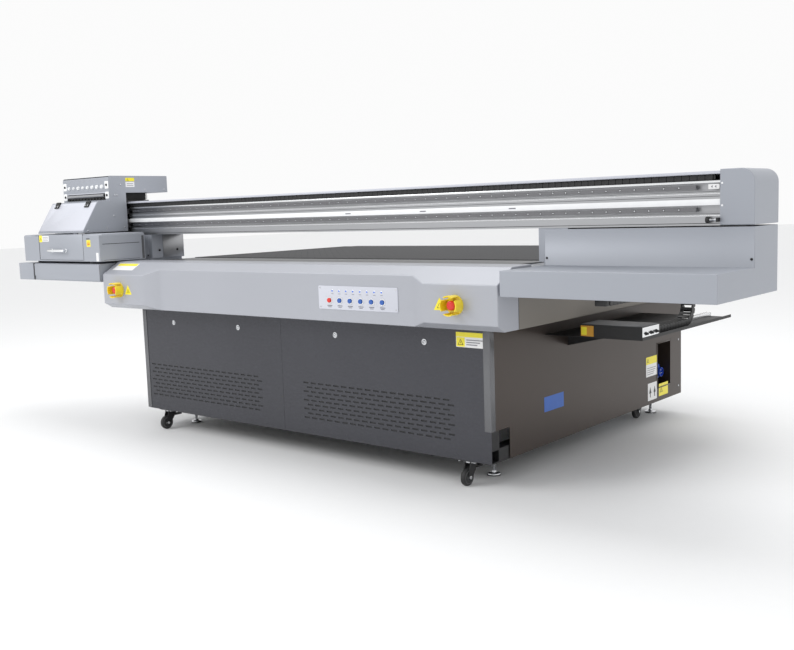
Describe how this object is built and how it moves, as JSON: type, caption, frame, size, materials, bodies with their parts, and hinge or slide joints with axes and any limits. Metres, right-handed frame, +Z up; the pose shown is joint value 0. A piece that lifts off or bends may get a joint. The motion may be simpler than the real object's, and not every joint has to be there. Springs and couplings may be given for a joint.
{
  "type": "flatbed uv printer",
  "caption": "Floor-standing flatbed ultraviolet inkjet printer: cabinet with a vacuum bed, travelling gantry with a capping station, and a print carriage on its beam.",
  "frame": {"origin": "on the floor, in the middle of the machine in length and depth", "axes": "+X along the gantry beam to the operator's right, +Y from the front to the back, +Z up"},
  "size_m": [4.436, 2.077, 1.444],
  "materials": {
    "cover_grey": "satin powder coat",
    "lid_white": "satin powder coat",
    "graphite": "fine textured powder coat",
    "frame_black": "matt paint",
    "bed_aluminium": "hard anodised",
    "aluminium": "brushed",
    "rail_steel": "ground",
    "black_plastic": "matt",
    "strip_white": "gloss",
    "shroud_yellow": "gloss",
    "button_red": "gloss",
    "button_blue": "gloss",
    "inlet_blue": "gloss",
    "foot_steel": "zinc plated",
    "wheel_rubber": "matt",
    "pad_rubber": "matt"
  },
  "bodies": {
    "base": {"base_frame": "frame_black", "front_panels": "graphite", "side_panel_left": "graphite", "side_panel_right": "graphite", "rear_panel": "graphite", "front_bumper": "cover_grey", "side_skirt_left": "cover_grey", "side_skirt_right": "cover_grey", "rail_covers": "cover_grey", "vacuum_bed": "bed_aluminium", "bed_surround": "cover_grey", "vacuum_plenum": "aluminium", "y_rails": "rail_steel", "vacuum_blower": "aluminium", "electronics_case": "aluminium", "power_inlet": "inlet_blue", "leveling_feet": "foot_steel", "control_panel": "cover_grey", "estop_shrouds": "shroud_yellow", "cable_tray": "frame_black", "y_chain_run": "black_plastic"},
    "gantry": {"gantry_beam": "aluminium", "beam_top_cover": "cover_grey", "beam_rails": "rail_steel", "beam_strips": "strip_white", "x_chain": "black_plastic", "beam_end_caps": "cover_grey", "gantry_legs": "aluminium", "wing_cover_left": "cover_grey", "wing_cover_right": "cover_grey", "y_bearings": "rail_steel", "y_motors": "black_plastic", "station_box": "cover_grey", "capping_pads": "pad_rubber", "y_chain_upper": "black_plastic"},
    "chain_bend": {"y_chain_bend": "black_plastic"},
    "drawer": {"station_drawer": "cover_grey"},
    "sled": {"sled_plate": "frame_black", "x_bearings": "rail_steel"},
    "head_unit": {"carriage_housing": "cover_grey", "lift_plate": "aluminium", "print_heads": "aluminium", "uv_lamps": "aluminium"},
    "lid": {"carriage_lid": "lid_white"},
    "estop_left": {"estop_button_left": "button_red"},
    "estop_right": {"estop_button_right": "button_red"},
    "button_1": {"panel_button_1": "button_red"},
    "button_2": {"panel_button_2": "button_blue"},
    "button_3": {"panel_button_3": "button_blue"},
    "button_4": {"panel_button_4": "button_blue"},
    "button_5": {"panel_button_5": "button_blue"},
    "button_6": {"panel_button_6": "button_blue"},
    "fork_front_right": {"caster_fork_front_right": "frame_black"},
    "wheel_front_right": {"caster_wheel_front_right": "wheel_rubber"},
    "fork_front_left": {"caster_fork_front_left": "frame_black"},
    "wheel_front_left": {"caster_wheel_front_left": "wheel_rubber"},
    "fork_rear_right": {"caster_fork_rear_right": "frame_black"},
    "wheel_rear_right": {"caster_wheel_rear_right": "wheel_rubber"},
    "fork_rear_left": {"caster_fork_rear_left": "frame_black"},
    "wheel_rear_left": {"caster_wheel_rear_left": "wheel_rubber"}
  },
  "joints": [
    {"name": "gantry_slide", "type": "slide", "parent": "base", "child": "gantry", "axis": [0, 1, 0], "range_m": [0, 1.4], "deforming": ["y_chain_upper", "y_chain_run"]},
    {"name": "chain_roll", "type": "slide", "parent": "base", "child": "chain_bend", "axis": [0, 1, 0], "range_m": [0, 0.7]},
    {"name": "carriage_slide", "type": "slide", "parent": "gantry", "child": "sled", "axis": [1, 0, 0], "range_m": [0, 3.5]},
    {"name": "head_lift", "type": "slide", "parent": "sled", "child": "head_unit", "axis": [0, 0, -1], "range_m": [0, 0.04]},
    {"name": "lid_hinge", "type": "hinge", "parent": "head_unit", "child": "lid", "pos_m": [-1.757, -0.87824, 1.29499], "axis": [-1, 0, 0], "range_deg": [0, 105]},
    {"name": "drawer_slide", "type": "slide", "parent": "gantry", "child": "drawer", "axis": [0, -1, 0], "range_m": [0, 0.2]},
    {"name": "estop_left_press", "type": "slide", "parent": "base", "child": "estop_left", "axis": [0, 1, 0], "range_m": [0, 0.006], "stiffness_N_per_m": 1500},
    {"name": "estop_right_press", "type": "slide", "parent": "base", "child": "estop_right", "axis": [0, 1, 0], "range_m": [0, 0.006], "stiffness_N_per_m": 1500},
    {"name": "button_1_press", "type": "slide", "parent": "base", "child": "button_1", "axis": [0, 1, 0], "range_m": [0, 0.003], "stiffness_N_per_m": 400},
    {"name": "button_2_press", "type": "slide", "parent": "base", "child": "button_2", "axis": [0, 1, 0], "range_m": [0, 0.003], "stiffness_N_per_m": 400},
    {"name": "button_3_press", "type": "slide", "parent": "base", "child": "button_3", "axis": [0, 1, 0], "range_m": [0, 0.003], "stiffness_N_per_m": 400},
    {"name": "button_4_press", "type": "slide", "parent": "base", "child": "button_4", "axis": [0, 1, 0], "range_m": [0, 0.003], "stiffness_N_per_m": 400},
    {"name": "button_5_press", "type": "slide", "parent": "base", "child": "button_5", "axis": [0, 1, 0], "range_m": [0, 0.003], "stiffness_N_per_m": 400},
    {"name": "button_6_press", "type": "slide", "parent": "base", "child": "button_6", "axis": [0, 1, 0], "range_m": [0, 0.003], "stiffness_N_per_m": 400},
    {"name": "swivel_front_right", "type": "hinge", "parent": "base", "child": "fork_front_right", "pos_m": [1.05, -0.7915, 0.1], "axis": [0, 0, 1], "continuous": true},
    {"name": "roll_front_right", "type": "hinge", "parent": "fork_front_right", "child": "wheel_front_right", "pos_m": [1.05, -0.8245, 0.0375], "axis": [1, 0, 0], "continuous": true},
    {"name": "swivel_front_left", "type": "hinge", "parent": "base", "child": "fork_front_left", "pos_m": [-1.05, -0.7915, 0.1], "axis": [0, 0, 1], "continuous": true},
    {"name": "roll_front_left", "type": "hinge", "parent": "fork_front_left", "child": "wheel_front_left", "pos_m": [-1.05, -0.8245, 0.0375], "axis": [1, 0, 0], "continuous": true},
    {"name": "swivel_rear_right", "type": "hinge", "parent": "base", "child": "fork_rear_right", "pos_m": [1.05, 0.8015, 0.1], "axis": [0, 0, 1], "continuous": true},
    {"name": "roll_rear_right", "type": "hinge", "parent": "fork_rear_right", "child": "wheel_rear_right", "pos_m": [1.05, 0.7685, 0.0375], "axis": [1, 0, 0], "continuous": true},
    {"name": "swivel_rear_left", "type": "hinge", "parent": "base", "child": "fork_rear_left", "pos_m": [-1.05, 0.8015, 0.1], "axis": [0, 0, 1], "continuous": true},
    {"name": "roll_rear_left", "type": "hinge", "parent": "fork_rear_left", "child": "wheel_rear_left", "pos_m": [-1.05, 0.7685, 0.0375], "axis": [1, 0, 0], "continuous": true}
  ],
  "couplings": [
    {"joint": "chain_roll", "follows": "gantry_slide", "ratio": 0.5}
  ]
}
